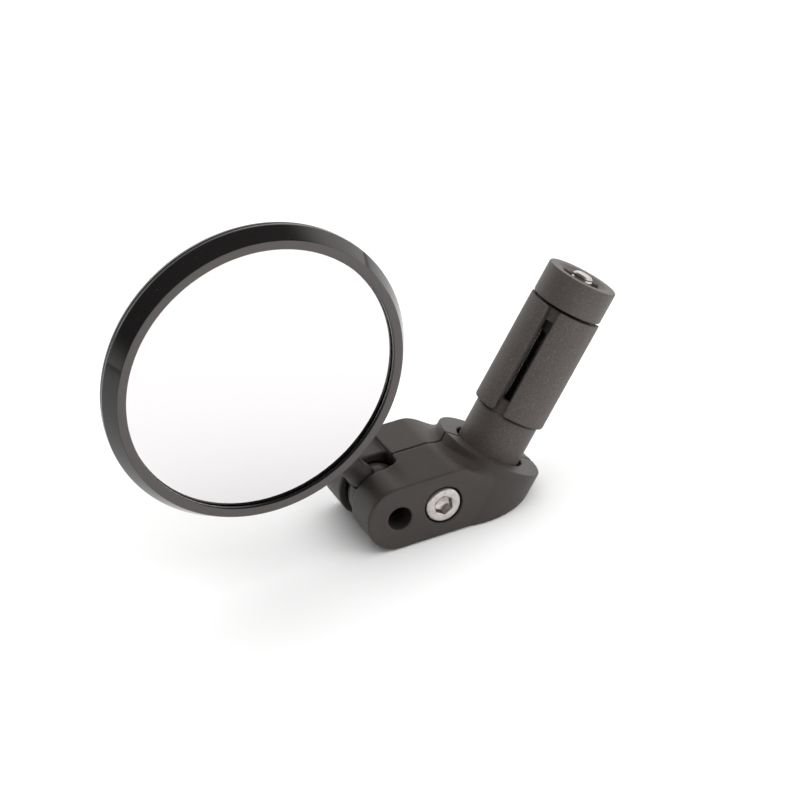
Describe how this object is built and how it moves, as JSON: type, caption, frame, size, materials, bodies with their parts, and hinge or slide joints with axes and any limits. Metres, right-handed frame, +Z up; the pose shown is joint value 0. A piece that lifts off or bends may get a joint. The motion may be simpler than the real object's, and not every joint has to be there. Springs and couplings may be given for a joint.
{
  "type": "bar-end bicycle mirror",
  "caption": "Round convex bicycle mirror on a ball-jointed neck, held in a split clamp that swivels on an expanding plug for a handlebar's open end.",
  "frame": {"origin": "under the middle of the object's box, on the surface that the clamp's flat underside stands on", "axes": "+Z up, the mirror and the clamp screw face -Y, the clamp's arm runs along +X and the plug leans from it towards +X"},
  "size_m": [0.1214, 0.0256, 0.0839],
  "materials": {
    "clamp_plastic": "dark warm grey moulded nylon, finely textured, satin",
    "stalk_plastic": "dark moulded nylon, smoother than the clamp",
    "plug_plastic": "glass-filled nylon with a speckled skin and a mould seam",
    "grip_rubber": "matt dark grey with fine pale speckle",
    "bezel_plastic": "polished black band with a satin dark grey front lip",
    "shell_plastic": "black moulded shell, semi-gloss",
    "mirror_glass": "silvered convex glass",
    "bright_steel": "bright plated steel",
    "dark_steel": "blackened steel",
    "foam": "white adhesive foam"
  },
  "bodies": {
    "clamp": {"clamp_front_half": "clamp_plastic", "clamp_back_half": "clamp_plastic", "clamp_nut": "bright_steel", "clamp_washer": "bright_steel"},
    "screw": {"clamp_screw": "bright_steel"},
    "ball": {"stalk_ball": "stalk_plastic"},
    "mirror_head": {"mirror_stalk": "stalk_plastic", "mirror_bezel": "bezel_plastic", "mirror_glass": "mirror_glass", "glass_pad": "foam", "mirror_back_shell": "shell_plastic", "foot_screw_1": "bright_steel", "foot_screw_2": "bright_steel"},
    "plug": {"plug_core": "plug_plastic", "bolt_washer": "bright_steel"},
    "bolt": {"expander_bolt": "bright_steel"},
    "cap": {"wedge_cap": "plug_plastic", "wedge_nut": "dark_steel"},
    "pad_1": {"grip_pad_1": "grip_rubber"},
    "pad_2": {"grip_pad_2": "grip_rubber"},
    "pad_3": {"grip_pad_3": "grip_rubber"}
  },
  "joints": [
    {"name": "mirror_swing", "type": "hinge", "parent": "clamp", "child": "ball", "pos_m": [0.00056, 0, 0.0078], "axis": [0, 1, 0], "range_deg": [-150, 36]},
    {"name": "mirror_twist", "type": "hinge", "parent": "ball", "child": "mirror_head", "pos_m": [0.00056, 0, 0.0078], "axis": [-0.5417, 0, 0.8406], "continuous": true},
    {"name": "plug_swivel", "type": "hinge", "parent": "clamp", "child": "plug", "pos_m": [0.02666, 0, 0.0078], "axis": [0.5721, 0, 0.8202], "continuous": true},
    {"name": "bolt_turn", "type": "hinge", "parent": "plug", "child": "bolt", "pos_m": [0.02666, 0, 0.0078], "axis": [0.5721, 0, 0.8202], "range_deg": [-92, 228]},
    {"name": "cap_slide", "type": "slide", "parent": "plug", "child": "cap", "axis": [0.5721, 0, 0.8202], "range_m": [-0.0005, 0.0002]},
    {"name": "pad_1_spread", "type": "slide", "parent": "plug", "child": "pad_1", "axis": [0.1141, -0.9903, -0.0796], "range_m": [-0.00022, 0.00052]},
    {"name": "pad_2_spread", "type": "slide", "parent": "plug", "child": "pad_2", "axis": [0.6463, 0.6157, -0.4509], "range_m": [-0.00022, 0.00052]},
    {"name": "pad_3_spread", "type": "slide", "parent": "plug", "child": "pad_3", "axis": [-0.7604, 0.3746, 0.5305], "range_m": [-0.00022, 0.00052]},
    {"name": "clamp_screw_turn", "type": "hinge", "parent": "clamp", "child": "screw", "pos_m": [0.01121, 0, 0.0078], "axis": [0, 1, 0], "range_deg": [-1080, 90]}
  ],
  "couplings": [
    {"joint": "bolt_turn", "follows": "cap_slide", "rad_per_m": -7854},
    {"joint": "pad_1_spread", "follows": "cap_slide", "ratio": -1},
    {"joint": "pad_2_spread", "follows": "cap_slide", "ratio": -1},
    {"joint": "pad_3_spread", "follows": "cap_slide", "ratio": -1}
  ]
}
